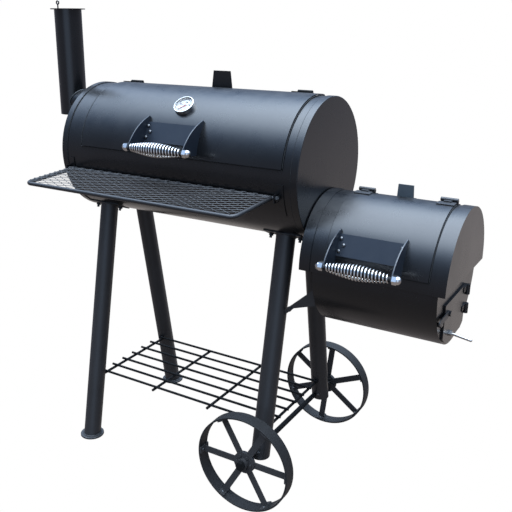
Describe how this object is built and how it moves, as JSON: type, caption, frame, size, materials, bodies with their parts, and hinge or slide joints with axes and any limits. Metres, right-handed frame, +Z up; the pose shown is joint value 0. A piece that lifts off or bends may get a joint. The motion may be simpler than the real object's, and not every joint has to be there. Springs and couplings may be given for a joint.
{
  "type": "offset smoker",
  "caption": "Barrel cooking chamber with hinged lid and side stack on splayed legs and spoked wheels, with a smaller lidded firebox hung on one end.",
  "frame": {"origin": "on the floor, under the middle of the whole outline", "axes": "+X along the barrel towards the firebox, -Y towards the cook, +Z up"},
  "size_m": [1.4709, 0.7221, 1.4365],
  "materials": {
    "black_paint": "satin heat-resistant black paint",
    "chrome": "bright plated",
    "grate_steel": "bare wire",
    "dial_face": "printed white",
    "dial_glass": "clear",
    "pointer_red": "matt red"
  },
  "bodies": {
    "base": {"chamber_shell": "black_paint", "left_end_cap": "black_paint", "right_end_cap": "black_paint", "cooking_grate_left": "grate_steel", "cooking_grate_right": "grate_steel", "lid_hinge_leaf_left": "black_paint", "lid_hinge_leaf_right": "black_paint", "lid_stop": "black_paint", "smokestack": "black_paint", "stack_neck": "black_paint", "shelf_frame": "black_paint", "shelf_mesh": "black_paint", "shelf_strap_left": "black_paint", "shelf_strap_right": "black_paint", "leg_front_left": "black_paint", "leg_rear_left": "black_paint", "leg_front_right": "black_paint", "leg_rear_right": "black_paint", "foot_front_left": "black_paint", "foot_rear_left": "black_paint", "wire_shelf": "black_paint", "axle": "black_paint", "firebox_hood": "black_paint", "firebox_left_plate": "black_paint", "firebox_right_plate": "black_paint", "throat_collar": "black_paint", "firebox_tray": "black_paint", "charcoal_grate": "grate_steel", "fire_hinge_leaf_left": "black_paint", "fire_hinge_leaf_right": "black_paint", "firebox_stop": "black_paint", "firebox_strut_front": "black_paint", "firebox_strut_rear": "black_paint"},
    "main_lid": {"main_lid": "black_paint", "lid_hinge_flap_left": "black_paint", "lid_hinge_flap_right": "black_paint", "main_handle_bracket": "black_paint", "main_handle_rod": "chrome", "main_handle_coil": "chrome", "thermometer_case": "chrome", "thermometer_dial": "dial_face", "thermometer_glass": "dial_glass"},
    "thermometer_pointer": {"thermometer_pointer": "pointer_red"},
    "firebox_lid": {"firebox_lid": "black_paint", "fire_hinge_flap_left": "black_paint", "fire_hinge_flap_right": "black_paint", "fire_handle_bracket": "black_paint", "fire_handle_rod": "chrome", "fire_handle_coil": "chrome"},
    "stack_damper": {"stack_damper": "black_paint"},
    "firebox_door": {"firebox_door": "black_paint", "door_pull": "chrome"},
    "door_latch": {"door_latch": "black_paint"},
    "front_wheel": {"front_wheel_rim": "black_paint", "front_wheel_spokes": "black_paint", "front_wheel_hub": "black_paint"},
    "rear_wheel": {"rear_wheel_rim": "black_paint", "rear_wheel_spokes": "black_paint", "rear_wheel_hub": "black_paint"}
  },
  "joints": [
    {"name": "main_lid_hinge", "type": "hinge", "parent": "base", "child": "main_lid", "pos_m": [-0.12795, 0.10637, 1.18267], "axis": [-1, 0, 0], "range_deg": [0, 100]},
    {"name": "thermometer_needle", "type": "hinge", "parent": "main_lid", "child": "thermometer_pointer", "pos_m": [-0.11595, -0.0872, 1.1393], "axis": [0, 0.632, -0.7749], "range_deg": [0, 270]},
    {"name": "firebox_lid_hinge", "type": "hinge", "parent": "base", "child": "firebox_lid", "pos_m": [0.50405, 0.06585, 0.93326], "axis": [-1, 0, 0], "range_deg": [0, 110]},
    {"name": "damper_swivel", "type": "hinge", "parent": "base", "child": "stack_damper", "pos_m": [-0.68876, 0.00973, 1.408], "axis": [0, 0, 1], "range_deg": [0, 110]},
    {"name": "firebox_door_hinge", "type": "hinge", "parent": "base", "child": "firebox_door", "pos_m": [0.67855, 0.13795, 0.64], "axis": [0, 0, 1], "range_deg": [0, 110]},
    {"name": "door_latch_pivot", "type": "hinge", "parent": "firebox_door", "child": "door_latch", "pos_m": [0.67735, -0.03805, 0.66], "axis": [-1, 0, 0], "range_deg": [0, 45]},
    {"name": "front_wheel_spin", "type": "hinge", "parent": "base", "child": "front_wheel", "pos_m": [0.18805, -0.24255, 0.15], "axis": [0, 1, 0], "continuous": true},
    {"name": "rear_wheel_spin", "type": "hinge", "parent": "base", "child": "rear_wheel", "pos_m": [0.18805, 0.33045, 0.15], "axis": [0, 1, 0], "continuous": true}
  ]
}
